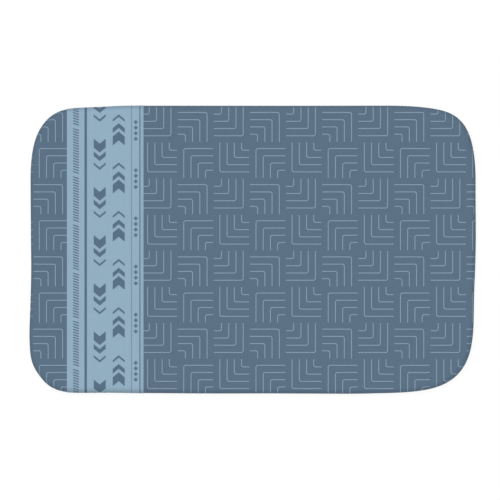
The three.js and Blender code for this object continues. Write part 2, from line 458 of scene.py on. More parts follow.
# Gathers: one wave after another round the hem, each with its own width and height
edges, heights, fades, climbs = [0.0], [], [], []
while edges[-1] < hem_length:
    full = np.interp(edges[-1], hem_run, fullness)
    width = np.interp(full, [0, 1], GATHER_WIDTH) * rng.uniform(*WIDTH_SHARES)
    edges.append(edges[-1] + width)
    heights.append(np.interp(full, [0, 1], GATHER_HEIGHT) * rng.uniform(*HEIGHT_SHARES))
    fades.append(rng.uniform(*GATHER_FADE))
    climbs.append(rng.uniform(*GATHER_CLIMB))
edges = np.array(edges) * hem_length / edges[-1]
wave = np.searchsorted(edges, hem_run, side="right") - 1
phase = (hem_run - edges[wave]) / np.diff(edges)[wave]
gather = np.array(heights)[wave] * (0.5 - 0.5 * np.cos(2 * np.pi * phase)) ** GATHER_POINT

# The tape's two ends lap on the far side, where the hem lies flat and a little raised
JOIN_LAP = 13 * MM
JOIN_AT = 0.45
JOIN_RISE = 0.9 * MM
JOIN_BLEND = 14 * MM
far_side = slice(CORNER_STATIONS, CORNER_STATIONS + LONG_STATIONS)
join_middle = hem_run[far_side][int(LONG_STATIONS * JOIN_AT)]
beside_join = np.abs(hem_run - join_middle) - JOIN_LAP
gather += (JOIN_RISE - gather) * smooth(1 - beside_join / JOIN_BLEND)

gather_fade = np.array(fades)[wave]
gather_climb = np.array(climbs)[wave]
dent = np.interp(fullness, [0, 1], DENT_DEPTH)
for count in DENT_WAVES:
    turn = 2 * np.pi * (hem_run / hem_length * count + rng.uniform())
    dent = dent * (1 - DENT_SWING + DENT_SWING * np.sin(turn))


# Edge profile of the cloth's outer face: the top roll, the leaning side that touches both rolls,
# the lower roll, then flat to the cut edge. Each place has an inset, a height, the direction out
# of the cloth, the run of cloth from the flat top, and how much of the gathers it takes up.

ROLL_STEPS = 9
SIDE_STEPS = 5
LOWER_STEPS = 7
FLANGE_STEPS = 11
LAP_STEPS = 2
top_centre = np.array([TOP_ROLL, SURFACE - TOP_ROLL])
lower_centre = np.array([LOWER_ROLL_INSET, TURNED_UNDER + LOWER_ROLL])
between = top_centre - lower_centre
lean = np.arctan2(between[0], between[1]) - np.arcsin(
    (TOP_ROLL - LOWER_ROLL) / np.hypot(*between)
)


def on_roll(centre, radius, angles):
    """Places on a circle, as inset and height, and the directions out of it, at angles up from
    straight outwards."""
    directions = np.stack([-np.cos(angles), np.sin(angles)], 1)
    return centre + radius * directions, directions


top_places, top_out = on_roll(top_centre, TOP_ROLL, np.linspace(np.pi / 2, lean, ROLL_STEPS + 1))
low_places, low_out = on_roll(
    lower_centre, LOWER_ROLL, np.linspace(lean, -np.pi / 2, LOWER_STEPS + 1)
)
side_share = np.arange(1, SIDE_STEPS)[:, None] / SIDE_STEPS
side_places = top_places[-1] + side_share * (low_places[0] - top_places[-1])
profile = np.concatenate([top_places, side_places, low_places])
profile_out = np.concatenate([top_out, np.repeat(top_out[-1:], SIDE_STEPS - 1, 0), low_out])
profile_run = run_along(profile)
WIDEST = ROLL_STEPS - 1
wall_share = np.clip(
    (profile_run - profile_run[WIDEST]) / (profile_run[-1] - profile_run[WIDEST]), 0, 1
)


def edge_rings(outwards):
    """Rings of a layer at a distance outside the cloth's outer face, from the flat top's rim to
    the cut edge: each has its points and the run of cloth to it."""
    rings = []
    for place, out, run, share in zip(profile, profile_out, profile_run, wall_share):
        moved = place + out * outwards
        taken = gather * ROLL_GATHER * share**gather_climb + dent * np.sin(np.pi * share)
        inset = moved[0] - out[0] * taken
        height = moved[1] - out[1] * taken
        points = edge_points - edge_outward * inset[:, None]
        rings.append((np.column_stack([points, height]), run))
    under = TURNED_UNDER - outwards
    roll_end = edge_points - edge_outward * LOWER_ROLL_INSET
    lap_line = hem_points + hem_outward * TAPE_LAP
    flange = np.linalg.norm(lap_line - roll_end, axis=1)
    for step in range(1, FLANGE_STEPS + 1):
        share = step / FLANGE_STEPS
        taken = ROLL_GATHER + (1 - ROLL_GATHER) * share**gather_fade
        points = roll_end + (lap_line - roll_end) * share
        run = profile_run[-1] + flange * share
        rings.append((np.column_stack([points, under + gather * taken]), run))
    for step in range(1, LAP_STEPS + 1):
        share = step / LAP_STEPS
        points = lap_line + (hem_points - lap_line) * share
        run = profile_run[-1] + flange + TAPE_LAP * share
        rings.append((np.column_stack([points, under + gather]), run))
    return rings


rim_points = edge_points - edge_outward * TOP_ROLL

# Where each wave of the top starts. Two more are drawn, so that later draws stay as they are.
sag_starts = rng.uniform(0, 2 * np.pi, len(SAG_WAVES) + 2)


def top_sag(x, y):
    """How far the top dips: slow waves that die out towards the rim of the flat top."""
    waves = 0
    for (by_x, by_y, length), start in zip(SAG_WAVES, sag_starts):
        waves = waves + np.sin((by_x * x + by_y * y) / length + start)
    reach = (np.abs(x) / (HALF_PLAN[0] - SAG_EDGE)) ** SAG_CORNER_POWER
    reach = reach + (np.abs(y) / (HALF_PLAN[1] - SAG_EDGE)) ** SAG_CORNER_POWER
    fade = np.clip(SAG_STEEPNESS * (1 - reach), 0, 1)
    return SAG * (0.5 + waves / (2 * len(SAG_WAVES))) * fade


# Meshes

# Faces that meet at more than the crease's angle are shaded apart. The second map lies on a
# square, for baking the look, with a margin round each part of it.
CREASE = math.radians(50)
SQUARE_MAP = "OFBake"
SQUARE_MARGIN = 0.006


def triangles(*faces):
    """One array of triangles from lists of their first, second and third corners."""
    return np.concatenate([np.stack(face, 1) for face in faces])


def on_square(flats, order, bands, columns):
    """Flat places stretched to fill a square. Each kind of face has a band of it, bands being
    their shares of its height. A long piece stands upright and is cut into columns."""
    corners = flats.reshape(-1, 2)
    spread = np.ptp(corners, axis=0)
    places = (flats - corners.min(0)) / spread
    if columns > 1 and spread[0] > spread[1]:
        places = np.stack([1 - places[..., 1], places[..., 0]], -1)
    column = np.clip(np.floor(places[..., 1].mean(1) * columns), 0, columns - 1)
    for number in range(columns):
        rise = places[column == number, :, 1]
        places[column == number, :, 1] = (rise - rise.min()) / np.ptp(rise)
    places = SQUARE_MARGIN + places * (1 - 2 * SQUARE_MARGIN)
    places[..., 0] = (places[..., 0] + column[:, None]) / columns
    bands = np.array(bands)
    start = (np.cumsum(bands) - bands)[order][:, None]
    places[..., 1] = start + places[..., 1] * bands[order][:, None]
    return places


class Skin:
    """A piece in the making: patches of triangles, each corner with its place on flat cloth."""

    def __init__(self):
        self.points, self.faces, self.flats, self.finishes = [], [], [], []
        self.count = 0

    def add(self, points):
        """Adds points and returns their numbers."""
        self.points.append(points)
        self.count += len(points)
        return np.arange(self.count - len(points), self.count)

    def ring(self, points, flats=None, wrap=None):
        """Adds a closed ring. Its numbers and flat places are given with the first one again at
        the end, where the flat place is wrap if the flat cloth is cut open there."""
        numbers = self.add(points)
        flats = points[:, :2] if flats is None else flats
        last = flats[:1] if wrap is None else wrap
        return np.append(numbers, numbers[0]), np.concatenate([flats, last])

    def patch(self, numbers, flats, faces, finish=0):
        """Adds triangles, given as places in the list of numbers, in one finish."""
        self.faces.append(numbers[faces])
        self.flats.append(flats[faces])
        self.finishes.append(np.full(len(faces), finish))

    def turn_over(self, first):
        """Turns the patches from number first on the other way round."""
        for patches in (self.faces, self.flats):
            patches[first:] = [patch[:, ::-1] for patch in patches[first:]]

    def join(self, upper, lower, finish=0):
        """Triangles between two rings with as many points, or the lower with twice as many."""
        numbers = np.concatenate([upper[0], lower[0]])
        flats = np.concatenate([upper[1], lower[1]])
        start = len(upper[0])
        i = np.arange(start - 1)
        if len(lower[0]) == start:
            b = start + i
            faces = triangles((i, b, b + 1), (i, b + 1, i + 1))
        else:
            b = start + 2 * i
            faces = triangles((i, b, b + 1), (i, b + 1, i + 1), (i + 1, b + 1, b + 2))
        self.patch(numbers, flats, faces, finish)

    def grid(self, numbers, flats, finish=0):
        """Triangles over a grid of point numbers, rows by columns, and their flat places."""
        rows, columns = numbers.shape
        place = np.arange(rows * columns).reshape(rows, columns)
        corners = place[:-1, :-1], place[:-1, 1:], place[1:, 1:], place[1:, :-1]
        a, b, c, d = (corner.ravel() for corner in corners)
        faces = triangles((a, b, c), (a, c, d))
        self.patch(numbers.ravel(), flats.reshape(-1, 2), faces, finish)

    def build(self, name, finishes, bands=None, columns=1):
        """Makes the object. Faces are turned outwards: the volume that they enclose is positive.
        bands gives it a second map, on a square. A face whose finish's number is past the last
        one wears the last."""
        points = np.concatenate(self.points)
        faces = np.concatenate(self.faces)
        flats = np.concatenate(self.flats)
        a, b, c = (points[faces[:, corner]] for corner in range(3))
        if np.einsum("ij,ij->", a, np.cross(b, c)) < 0:
            faces, flats = faces[:, ::-1], flats[:, ::-1]
        mesh = bpy.data.meshes.new(name)
        mesh.from_pydata(points, [], faces.tolist())
        order = np.concatenate(self.finishes).astype(np.int32)
        maps = {"flat": flats}
        if bands is not None:
            maps[SQUARE_MAP] = on_square(flats, order, bands, columns)
        for title, places in maps.items():
            layer = mesh.uv_layers.new(name=title)
            layer.data.foreach_set("uv", np.ascontiguousarray(places, dtype=np.float32).ravel())
        for finish in finishes:
            mesh.materials.append(finish)
        mesh.polygons.foreach_set("material_index", np.minimum(order, len(finishes) - 1))
        mesh.shade_smooth()
        mesh.set_sharp_from_angle(angle=CREASE)
        mesh.update()
        return put_in_scene(name, mesh)


# The rims of the flat top and of the pads take every fourth station. Their grids' border starts
# at the middle of the first corner, and these are the numbers of points along its sides.
QUARTER = 4
HALF_CORNER = CORNER_STATIONS // QUARTER // 2
LONG_EDGE = (CORNER_STATIONS + LONG_STATIONS) // QUARTER
SHORT_EDGE = (CORNER_STATIONS + SHORT_STATIONS) // QUARTER


def top_grid(skin, ring, height, finish=0):
    """Fills a ring with a grid blended from its four sides (a Coons patch), each of which runs
    from the middle of one corner to the middle of the next. height gives z from x and y."""
    numbers = np.roll(ring[0][:-1], -HALF_CORNER)
    places = np.concatenate(skin.points)[numbers][:, :2]
    cuts = np.cumsum([0, LONG_EDGE, SHORT_EDGE, LONG_EDGE, SHORT_EDGE])
    order = np.append(np.arange(len(numbers)), 0)
    far, left, near, right = (order[a : b + 1] for a, b in zip(cuts[:-1], cuts[1:]))
    far, left = far[::-1], left[::-1]
    u = np.linspace(0, 1, LONG_EDGE + 1)[:, None, None]
    v = np.linspace(0, 1, SHORT_EDGE + 1)[None, :, None]
    far_line, near_line = places[far][:, None], places[near][:, None]
    left_line, right_line = places[left][None], places[right][None]
    blended = (1 - v) * near_line + v * far_line + (1 - u) * left_line + u * right_line
    corners = (
        (1 - u) * (1 - v) * near_line[:1]
        + u * (1 - v) * near_line[-1:]
        + (1 - u) * v * far_line[:1]
        + u * v * far_line[-1:]
    )
    plan = blended - corners
    grid = np.zeros(plan.shape[:2], dtype=int)
    inner = plan[1:-1, 1:-1].reshape(-1, 2)
    z = height(inner[:, 0], inner[:, 1])
    grid[1:-1, 1:-1] = skin.add(np.column_stack([inner, z])).reshape(grid[1:-1, 1:-1].shape)
    grid[:, -1], grid[:, 0] = numbers[far], numbers[near]
    grid[0, :], grid[-1, :] = numbers[left], numbers[right]
    skin.grid(grid[::-1], plan[::-1], finish)


def flat_places(run):
    """Where a ring lies on the flat cloth: out from the rim of the top by the run of cloth."""
    return rim_points + edge_outward * (np.zeros(COUNT) + run)[:, None]


def ring_step(place):
    """2 for the rings above the side's widest line, which take every second station, else 1."""
    return 2 if place <= WIDEST else 1


def cloth_face(skin, outwards, finish):
    """One face of the cloth: the flat top, then its rings to the cut edge, which is returned."""
    rings = edge_rings(outwards)
    rim = rings[0][0][::QUARTER]
    upper = skin.ring(rim, flat_places(0)[::QUARTER])
    top_grid(skin, upper, lambda x, y: rim[0, 2] - top_sag(x, y), finish)
    for place, (points, run) in enumerate(rings[1:], 1):
        step = ring_step(place)
        lower = skin.ring(points[::step], flat_places(run)[::step])
        skin.join(upper, lower, finish)
        upper = lower
    return upper


# Print on the cloth, in millimetres: nested brackets in square cells, turned by a quarter from
# cell to cell. Bracket n lies n steps and the offset from a corner of its cell, has its own corner
# rounded by the bend, and ends short of the cell's edge.
PRINT_CELL = 80.93
PRINT_ORIGIN = (-7.4, -1.52)
PRINT_STEP = 16.2
PRINT_OFFSET = 1.8
PRINT_BEND = 4.5
PRINT_LINE = 1.57
PRINT_END = 0.8
PRINT_SIZES = 4
INK_SOFT = 0.4


def bracket_lines(across, along, bleed=0):
    """1 on the bracket lines, from the place on the flat cloth in millimetres. In its cell each
    line is a square with rounded corners about one corner of the cell, at one of four sizes.
    bleed moves its edges a little, as ink does that runs along the threads."""
    cells = []
    for value, origin in zip((across, along), PRINT_ORIGIN):
        cell = (value - origin) * (1 / PRINT_CELL)
        cells.append((cell.maths("FRACT"), cell.maths("FLOOR").maths("FLOORED_MODULO", 2)))
    (share_x, odd_x), (share_y, odd_y) = cells
    from_x = abs((1 - odd_y) - share_x) * PRINT_CELL
    from_y = abs(odd_x - share_y) * PRINT_CELL
    far = from_x.maths("MAXIMUM", from_y)
    near = from_x.maths("MINIMUM", from_y)
    size = ((far - PRINT_OFFSET) * (1 / PRINT_STEP)).maths("ROUND")
    size = size.maths("MAXIMUM", 1).maths("MINIMUM", PRINT_SIZES)
    straight = size * PRINT_STEP + (PRINT_OFFSET - PRINT_BEND)
    past_x, past_y = from_x - straight, from_y - straight
    out_x, out_y = past_x.maths("MAXIMUM", 0), past_y.maths("MAXIMUM", 0)
    bend = (out_x * out_x + out_y * out_y).maths("SQRT")
    inside = past_x.maths("MAXIMUM", past_y).maths("MINIMUM", 0)
    line = (abs(bend + inside - PRINT_BEND) + bleed).within(PRINT_LINE / 2, INK_SOFT)
    return line * ((near - PRINT_END) * (1 / INK_SOFT)).maths("ADD", 0.5, clamp=True)


# Distances between the threads of each cloth, in millimetres
COTTON_THREADS = 0.55
STRIP_THREADS = 0.42
TAPE_THREADS = 0.5


def plain_weave(across, along, threads):
    """Height of a plain weave: threads each way, over and under each other by turns."""
    turn = math.pi / threads
    warp, weft = (across * turn).maths("SINE"), (along * turn).maths("SINE")
    over = (warp * weft * 4).maths("ADD", 0.5, clamp=True)
    return abs(warp) * over + abs(weft) * (1 - over)


def printed_cotton():
    """Slate coated cotton with the pale bracket print, in a fine plain weave, darkened between its
    threads by painted shade.
    """
    finish = Finish("printed_cotton")
    across, along, place = finish.flat_cloth()
    cloud = finish.noise(place, 0.012, 3)
    fleck = finish.noise(place, 1.1, 1)
    lines = bracket_lines(across, along, (fleck - 0.5) * 0.5)
    shade = (cloud - 0.5) * 0.10 + (fleck - 0.5) * 0.22
    ground = finish.blend(shade + 0.5, ink(87, 110, 131), ink(101, 124, 145))
    pale = finish.blend(shade + 0.5, ink(144, 170, 192), ink(158, 183, 205))
    colour = finish.blend(lines * 0.97, ground, pale)
    weave = plain_weave(across, along, COTTON_THREADS)
    height = weave + fleck * 0.5 + lines * 0.25
    return finish.surface(
        # Painted shade: the colour goes towards deep slate ink(50, 66, 82) where the weave is low,
        # between the threads.
        Base_Color=finish.blend((1 - weave) * 0.3, colour, ink(50, 66, 82)),
        Roughness=0.62 - lines * 0.05 + (fleck - 0.5) * 0.12,
        Specular_IOR_Level=0.16,
        Sheen_Weight=0.05,
        Sheen_Roughness=0.5,
        Normal=finish.bump(height, 0.12 * MM, 0.8),
    )


def cotton_reverse():
    """Back of the printed cotton: unprinted, paler, with the weave plainer to see."""
    finish = Finish("cotton_reverse")
    across, along, place = finish.flat_cloth()
    lines = bracket_lines(across, along)
    fleck = finish.noise(place, 0.9, 2)
    ground = finish.blend(fleck, ink(148, 160, 170), ink(172, 182, 190))
    colour = finish.blend(lines * 0.35, ground, ink(190, 203, 212))
    height = plain_weave(across, along, COTTON_THREADS) + fleck * 0.6
    return finish.surface(
        Base_Color=colour,
        Roughness=0.85,
        Specular_IOR_Level=0.15,
        Sheen_Weight=0.1,
        Normal=finish.bump(height, 0.07 * MM, 0.8),
    )


# Print on the strip, in millimetres from the cover's middle, on the flat strip. A column of
# chevrons has its middle, the way its tips point, and for each size the place of the tip and how
# thick it is. A rule has its middle, its width and how dark it is.
STRIP_PRINT_DROP = 0.38
CHEVRON_REPEAT = 107.9
CHEVRON_HALF = 13.45
CHEVRON_SLOPE = 0.83
LEFT_CHEVRONS = (-343.2, 1, ((2.5, 19.9), (-16.66, 10.6), (-36.26, 5.4)))
RIGHT_CHEVRONS = (-300.6, -1, ((19.9, 5.4), (39.62, 10.6), (58.22, 19.9)))
RULES = ((-374.6, 5.7, 1.0), (-272.0, 1.2, 0.9), (-253.1, 2.4, 0.95))
DASH_COLUMN = -396.4
DASH_HALF_HEIGHT = 6.4
DASH_PLACES = 18
DASH_PITCH = CHEVRON_REPEAT / DASH_PLACES
DASH_WIDTH = 2.9
DASH_SLANT = 0.35
DASH_GAP_MIDDLE = 10 * DASH_PITCH
LOZENGE_COLUMN = -262.4
LOZENGE_MIDDLE = -55.87
LOZENGE_PITCH = 12.5
LOZENGE_HALF = 5.0
LOZENGE_RUN = 50.0


def chevron_column(across, along, column):
    """Three sizes of chevron in one column. Each lies between two slanted lines that meet in
    its tip, and is trimmed to the width of the column."""
    middle, sense, shapes = column
    off = abs(across - middle)
    rise = along * sense - off * CHEVRON_SLOPE
    mask = None
    for tip, thick in shapes:
        one = (rise - (tip + thick / 2)).repeat(CHEVRON_REPEAT).within(thick / 2, INK_SOFT)
        mask = one if mask is None else mask.maths("MAXIMUM", one)
    return mask * off.within(CHEVRON_HALF, INK_SOFT)


def strip_print(across, along):
    """How dark the strip's print is, from 0 to 1."""
    along = along + STRIP_PRINT_DROP
    mask = chevron_column(across, along, LEFT_CHEVRONS)
    mask = mask.maths("MAXIMUM", chevron_column(across, along, RIGHT_CHEVRONS))
    for middle, width, strength in RULES:
        rule = (across - middle).within(width / 2, INK_SOFT) * strength
        mask = mask.maths("MAXIMUM", rule)
    off = across - DASH_COLUMN
    slanted = along + off * DASH_SLANT
    dashes = slanted.repeat(DASH_PITCH).within(DASH_WIDTH / 2, INK_SOFT)
    gap = (slanted - DASH_GAP_MIDDLE).repeat(CHEVRON_REPEAT).within(DASH_PITCH / 2, INK_SOFT)
    dashes = dashes * off.within(DASH_HALF_HEIGHT, INK_SOFT) * (1 - gap)
    run = (along - LOZENGE_MIDDLE).repeat(CHEVRON_REPEAT)
    reach = abs((run + LOZENGE_PITCH / 2).repeat(LOZENGE_PITCH)) + abs(across - LOZENGE_COLUMN)
    lozenges = reach.within(LOZENGE_HALF, INK_SOFT) * run.within(LOZENGE_RUN / 2, INK_SOFT)
    return mask.maths("MAXIMUM", dashes).maths("MAXIMUM", lozenges * 0.95)


def heat_proof_strip():
    """Pale blue metallised cloth with slate print, through which the cloth's lines just show."""
    finish = Finish("heat_proof_strip")
    across, along, place = finish.flat_cloth()
    dark = strip_print(across, along)
    ghost = bracket_lines(across, along)
    cloud = finish.noise(place, 0.02, 2)
    fleck = finish.noise(place, 1.3, 1)
    shade = (cloud - 0.5) * 0.12 + (fleck - 0.5) * 0.25 + ghost * 0.2
    pale = finish.blend(shade + 0.5, ink(133, 161, 181), ink(147, 174, 193))
    slate = finish.blend(shade + 0.5, ink(74, 99, 121), ink(88, 113, 134))
    height = plain_weave(across, along, STRIP_THREADS) + fleck * 0.5 - dark * 0.2
    return finish.surface(
        Base_Color=finish.blend(dark * 0.97, pale, slate),
        Metallic=0.12 * (1 - dark),
        Roughness=0.5 + dark * 0.1,
        Specular_IOR_Level=0.2,
        Normal=finish.bump(height, 0.07 * MM, 0.7),
    )


# Felt: turns of the fibres in three layers, how long and fine their streaks are, how much they
# bend and how narrow they show. Then its needles' dots, in millimetres: the distances between
# them, half of one's size, how soft its edge is and how far it strays.
FIBRE_TURNS = (0.3, 1.25, 2.4)
FIBRE_STRETCH = 0.2
FIBRE_FINE = 2.4
FIBRE_BEND = 7.0
FIBRE_NARROW = 7
NEEDLE_ACROSS = 2.4
NEEDLE_ALONG = 3.1
NEEDLE_HALF = 0.25
NEEDLE_SOFT = 0.6
NEEDLE_STRAY = 1.6


def felt_fibres(finish, across, along, place):
    """1 along the middle of a fibre: streaks of noise stretched three ways, each bent by a slow
    noise, the highest of which shows."""
    bend = (finish.noise(place, 0.15, 2) - 0.5) * FIBRE_BEND
    fibres = None
    for turn in FIBRE_TURNS:
        run = across * math.cos(turn) + along * math.sin(turn)
        off = along * math.cos(turn) - across * math.sin(turn) + bend
        streak = finish.node(
            "ShaderNodeCombineXYZ",
            {},
            dict(X=run * FIBRE_STRETCH, Y=off * FIBRE_FINE, Z=turn),
        )
        ridge = 1 - abs(finish.noise(streak, 1, 1) - 0.5) * FIBRE_NARROW
        ridge = ridge.maths("MAXIMUM", 0)
        fibres = ridge if fibres is None else fibres.maths("MAXIMUM", ridge)
    return fibres


def needle_felt():
    """Off-white felt: matted fibres, with the faint rows of dots that its needles leave, darkened
    by painted shade.
    """
    finish = Finish("needle_felt")
    across, along, place = finish.flat_cloth()
    fibres = felt_fibres(finish, across, along, place)
    matting = finish.noise(place, 0.07, 4)
    speck = finish.noise(place, 1.6, 3, 0.7)
    stray = (speck - 0.5) * NEEDLE_STRAY
    dots = (across + stray).repeat(NEEDLE_ACROSS).within(NEEDLE_HALF, NEEDLE_SOFT)
    dots = dots * (along - stray).repeat(NEEDLE_ALONG).within(NEEDLE_HALF, NEEDLE_SOFT)
    # Painted shade: the needles' dots are darker where they sink into the bump, as shade in their
    # holes.
    shade = fibres * 0.45 + matting * 0.45 + (speck - 0.5) * 0.5 + 0.1 - dots * 0.15
    colour = finish.blend(shade, ink(190, 187, 178), ink(243, 242, 237))
    height = fibres * 0.8 + matting * 1.2 + speck * 0.5 - dots * 0.3
    return finish.surface(
        Base_Color=colour,
        Roughness=0.97,
        Specular_IOR_Level=0.1,
        Sheen_Weight=0.25,
        Sheen_Roughness=0.6,
        Normal=finish.bump(height, 0.35 * MM, 0.9),
    )


# Foam cells in a metre
FOAM_CELLS = 1100


def open_foam():
    """Cream open-cell foam: small round cells between thin walls."""
    finish = Finish("open_foam")
    place = finish.node("ShaderNodeTexCoord", out="Object")
    cells = finish.node(
        "ShaderNodeTexVoronoi",
        dict(feature="SMOOTH_F1"),
        dict(Vector=place, Scale=FOAM_CELLS, Smoothness=0.4),
        "Distance",
    )
    cloud = finish.noise(place, 30)
    shade = cells * 0.8 + (cloud - 0.5) * 0.4
    colour = finish.blend(shade, ink(243, 238, 224), ink(206, 197, 174))
    return finish.surface(
        Base_Color=colour,
        Roughness=0.95,
        Specular_IOR_Level=0.2,
        Normal=finish.bump(1 - cells, 0.5 * MM, 0.8),
    )


def bias_tape():
    """Slate cotton tape cut on the bias, so its plain weave lies at 45 degrees to its edge, darker
    between its threads by painted shade.
    """
    finish = Finish("bias_tape")
    along, across, place = finish.flat_cloth()
    slant_a, slant_b = (along + across) * math.sqrt(0.5), (along - across) * math.sqrt(0.5)
    weave = plain_weave(slant_a, slant_b, TAPE_THREADS)
    fleck = finish.noise(place, 1.2, 2)
    cloud = finish.noise(place, 0.03, 2)
    # Painted shade: the weave's height also darkens the colour where it is low, between the
    # threads; the two noises are random tone.
    shade = weave * 0.35 + fleck * 0.4 + cloud * 0.25
    colour = finish.blend(shade, ink(62, 79, 95), ink(86, 105, 122))
    return finish.surface(
        Base_Color=colour,
        Roughness=0.82,
        Specular_IOR_Level=0.2,
        Sheen_Weight=0.08,
        Normal=finish.bump(weave + fleck * 0.4, 0.08 * MM, 0.8),
    )


# Elastic, in millimetres: width, slant and pitch of its plaits, and distance between its cores
PLAIT_WIDTH = 1.5
PLAIT_SLANT = 1.2
PLAIT_PITCH = 0.9
CORE_PITCH = 0.75


def braided_elastic():
    """White braided elastic: slanted plaits that meet in a herringbone, over rubber cores, darker
    in the grooves between plaits by painted shade.
    """
    finish = Finish("braided_elastic")
    along, across, place = finish.flat_cloth()
    plait = (along + abs(across.repeat(PLAIT_WIDTH)) * PLAIT_SLANT).repeat(PLAIT_PITCH)
    ridge = 1 - abs(plait) * (2 / PLAIT_PITCH)
    cores = 1 - abs(across.repeat(CORE_PITCH)) * (2 / CORE_PITCH)
    fleck = finish.noise(place, 1.5, 2)
    # Painted shade: the plaits' ridge also darkens the colour where it is low, in the grooves
    # between them.
    shade = ridge * 0.5 + fleck * 0.5
    return finish.surface(
        Base_Color=finish.blend(shade, ink(214, 213, 205), ink(247, 246, 241)),
        Roughness=0.8,
        Normal=finish.bump(ridge + cores * 0.6, 0.15 * MM, 0.8),
    )


def sewing_thread(name, dark, light):
    """Two-ply thread: pale and dark bands that wind round it, from the thread's own length. The
    dark bands are painted shade in the grooves of its twist, where its bump is low.
    """
    finish = Finish(name)
    along, across, place = finish.flat_cloth()
    twist = (along * 1.6 + across * 1.2).maths("SINE") * 0.5 + 0.5
    fleck = finish.noise(place, 2, 1)
    return finish.surface(
        # Painted shade: darker where the twist is low, in its grooves.
        Base_Color=finish.blend(twist * 0.6 + fleck * 0.4, dark, light),
        Roughness=0.6,
        Sheen_Weight=0.1,
        Normal=finish.bump(twist, 0.05 * MM, 0.7),
    )


# Printed cloth: its outer face, its inner face and the cut edge between them

PRINTED_BAND = 0.88
cloth_skin = Skin()
outer_edge = cloth_face(cloth_skin, 0, 0)
outer_patches = len(cloth_skin.faces)
inner_edge = cloth_face(cloth_skin, -CLOTH, 1)
cloth_skin.turn_over(outer_patches)
cloth_skin.join(outer_edge, inner_edge, 1)
cloth = cloth_skin.build(
    "printed_cloth",
    [printed_cotton(), cotton_reverse()],
    bands=(PRINTED_BAND, 1 - PRINTED_BAND),
)


# Heat-proof strip: the part of the cloth's outer face between two lines across the cover. The
# cloth's own triangles are cut along lines of constant x, so that the strip lies on it all over,
# in the gathers too. Its edge is rounded, down to STRIP_EDGE_SHARE of its thickness, and raised
# as far in as it is folded under. Lines, each a distance in from either edge, fall where its
# height changes and where its stitches run.

SHOWN_BAND = 0.93
STRIP_COLUMNS = 2
STRIP_FOLD = 7 * MM
STRIP_FOLD_END = 8 * MM
STRIP_FOLD_MARGIN = 0.6 * MM
STRIP_FOLD_LIFT = 0.18 * MM
STRIP_EDGE_ROUND = 1.2 * MM
STRIP_EDGE_SHARE = 0.25
STRIP_STITCH_IN = 2.6 * MM
STRIP_LINES = np.array([
    0, 0.12 * MM, 0.35 * MM, 0.7 * MM, STRIP_EDGE_ROUND,
    STRIP_STITCH_IN,
    STRIP_FOLD - STRIP_FOLD_MARGIN, STRIP_FOLD,
    STRIP_FOLD_END, STRIP_FOLD_END + STRIP_FOLD_MARGIN,
])
LEAST_CUT = 0.01 * MM


def cut_along(values, faces, x):
    """Cuts triangles where the first value of their points is x: each edge that crosses gets a
    point there, by linear interpolation, and of each triangle its lone corner comes off. Points
    nearer than the least cut are first moved that far away."""
    away = values[:, 0] - x
    shift = np.where(away > 0, LEAST_CUT, -LEAST_CUT) - away
    values[:, [0, 3]] += np.where(np.abs(away) < LEAST_CUT, shift, 0)[:, None]
    above = values[faces, 0] > x
    crossed = above.any(1) & ~above.all(1)
    above, cut = above[crossed], faces[crossed]
    lone = np.where(above.sum(1) == 1, above.argmax(1), above.argmin(1))
    cut = np.take_along_axis(cut, (lone[:, None] + np.arange(3)) % 3, 1)
    ends = np.sort(np.concatenate([cut[:, [0, 1]], cut[:, [0, 2]]]), 1)
    ends, place = np.unique(ends, axis=0, return_inverse=True)
    low, high = ends.T
    share = (x - values[low, 0]) / (values[high, 0] - values[low, 0])
    made = values[low] + share[:, None] * (values[high] - values[low])
    made[:, 0] = x
    (a, b, c), (p, q) = cut.T, len(values) + place.reshape(2, -1)
    parts = triangles((a, p, q), (p, b, c), (p, c, q))
    return np.concatenate([values, made]), np.concatenate([faces[~crossed], parts])


def cloth_values():
    """Triangles of the cloth's outer face and the values of its points: their place on it, their
    place 1 mm outside it, and the run of cloth to them from the flat top."""
    layers = []
    for outwards in (0, 1 * MM):
        skin = Skin()
        cloth_face(skin, outwards, 0)
        layers.append(np.concatenate(skin.points))
    runs = [
        (np.zeros(COUNT) + run)[:: ring_step(place)]
        for place, (_, run) in enumerate(edge_rings(0)[1:], 1)
    ]
    flat_top = np.zeros(len(layers[0]) - sum(map(len, runs)))
    values = np.column_stack([*layers, np.concatenate([flat_top, *runs])])
    return values, np.concatenate(skin.faces)


def strip_values():
    """The same values and triangles, for the part that the strip covers."""
    values, faces = cloth_values()
    lines = np.concatenate([STRIP_FROM + STRIP_LINES, STRIP_TO - STRIP_LINES])
    for x in lines:
        values, faces = cut_along(values, faces, x)
    middle = values[faces, 0].mean(1)
    faces = faces[(middle > STRIP_FROM) & (middle < STRIP_TO)]
    used, faces = np.unique(faces, return_inverse=True)
    return values[used], faces.reshape(-1, 3)


def strip_flats(values):
    """Flat places of the strip: x as it is, y as it is on the flat top and then on by the run."""
    x, y, run = values[:, 0], values[:, 1], values[:, 6]
    flats = np.stack([x, y], 1)
    for sense in (1, -1):
        rim = rim_points[::QUARTER]
        rim = rim[(rim[:, 1] * sense > 0) & (rim[:, 0] < 0)]
        rim = rim[np.argsort(rim[:, 0])]
        beyond = (run > 0) & (y * sense > 0)
        flats[beyond, 1] = np.interp(x[beyond], *rim.T) + sense * run[beyond]
    return flats


def above_cloth(values, above):
    """Points at heights above the cloth, on the line through both of their places."""
    return values[:, :3] + (values[:, 3:6] - values[:, :3]) * (above / MM)[:, None]


def borders(faces):
    """The edges that only one triangle has, each in that triangle's direction."""
    edges = np.concatenate([faces[:, [0, 1]], faces[:, [1, 2]], faces[:, [2, 0]]])
    _, place, times = np.unique(
        np.sort(edges, 1), axis=0, return_inverse=True, return_counts=True
    )
    return edges[times[place.ravel()] == 1]


